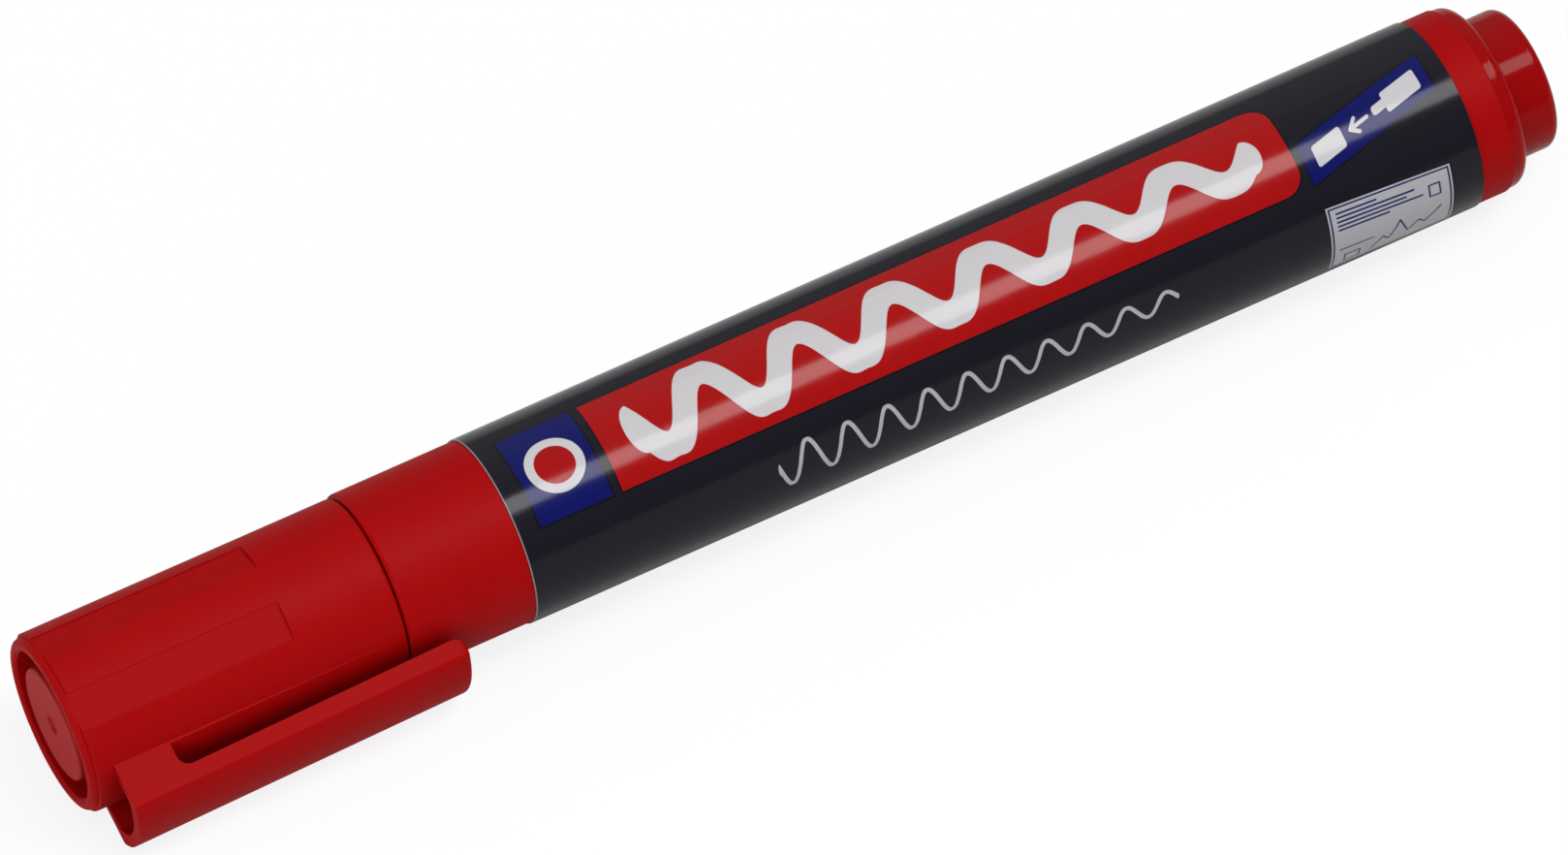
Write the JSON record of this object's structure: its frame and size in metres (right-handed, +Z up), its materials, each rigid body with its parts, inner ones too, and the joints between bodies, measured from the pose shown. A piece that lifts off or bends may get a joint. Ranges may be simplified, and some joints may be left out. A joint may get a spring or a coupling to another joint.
{
  "type": "whiteboard marker",
  "caption": "Capped whiteboard marker with a pull-off cap and pocket clip, a tapered barrel in a printed label, a bullet nib, an ink reservoir and a stepped rear plug.",
  "frame": {"origin": "below the middle of the marker's outline, on the table it lies on", "axes": "+X along the marker from the cap's closed end to the rear plug, +Z up, the clip on the -Y side and resting on the table"},
  "size_m": [0.1382, 0.02, 0.0168],
  "materials": {
    "satin_red_plastic": "satin moulded plastic with a fine texture",
    "pale_red_liner": "soft, slightly milky moulding",
    "printed_film": "glossy dark printed film",
    "gloss_red_plastic": "glossy moulded plastic",
    "natural_plastic": "satin, undyed",
    "inked_fibre": "bonded fibre, soaked with red ink",
    "soaked_fibre": "loose polyester fibre, soaked with red ink",
    "clear_film": "thin clear film"
  },
  "bodies": {
    "marker": {"barrel": "satin_red_plastic", "label_sleeve": "printed_film", "end_plug": "gloss_red_plastic", "nib_holder": "natural_plastic", "nib": "inked_fibre", "ink_reservoir": "soaked_fibre", "reservoir_wrap": "clear_film"},
    "cap": {"cap_shell": "satin_red_plastic", "inner_cap": "pale_red_liner"}
  },
  "joints": [
    {"name": "cap_pull", "type": "slide", "parent": "marker", "child": "cap", "axis": [-1, 0, 0], "range_m": [0, 0.045]}
  ]
}
